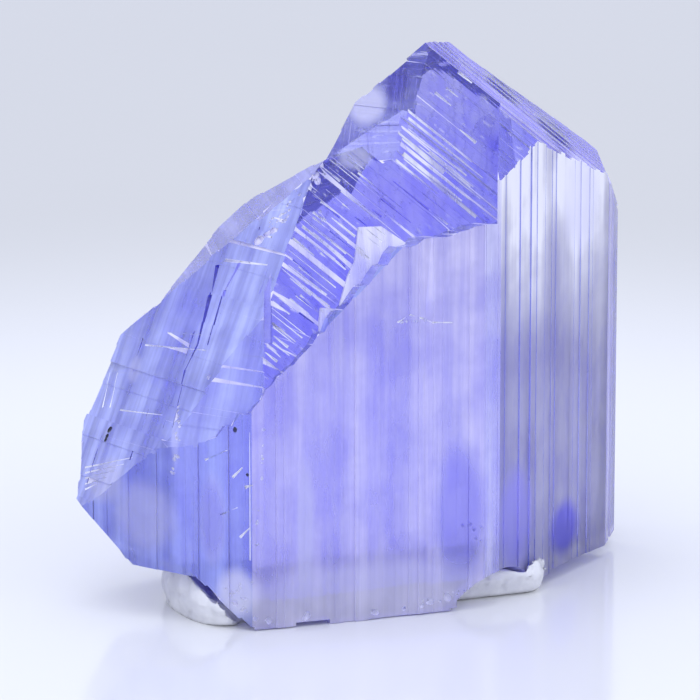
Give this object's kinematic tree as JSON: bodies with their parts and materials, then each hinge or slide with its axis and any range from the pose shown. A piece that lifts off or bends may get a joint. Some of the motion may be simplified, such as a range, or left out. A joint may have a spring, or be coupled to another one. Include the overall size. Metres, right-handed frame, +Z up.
{
  "type": "tanzanite crystal",
  "caption": "Violet-blue tanzanite crystal with a striated prism and a stepped slanting top, standing upright in a pinch of white display putty.",
  "frame": {"origin": "on the table, under the middle of the whole part's box", "axes": "+Z up along the crystal's prism, +X to the right and +Y away from the viewer of the picture"},
  "size_m": [0.0218, 0.0152, 0.022],
  "materials": {
    "tanzanite": "clear violet-blue stone, striated faces, frosted where broken",
    "putty": "matte white putty"
  },
  "bodies": {
    "root": {"crystal": "tanzanite", "putty": "putty"}
  },
  "joints": []
}
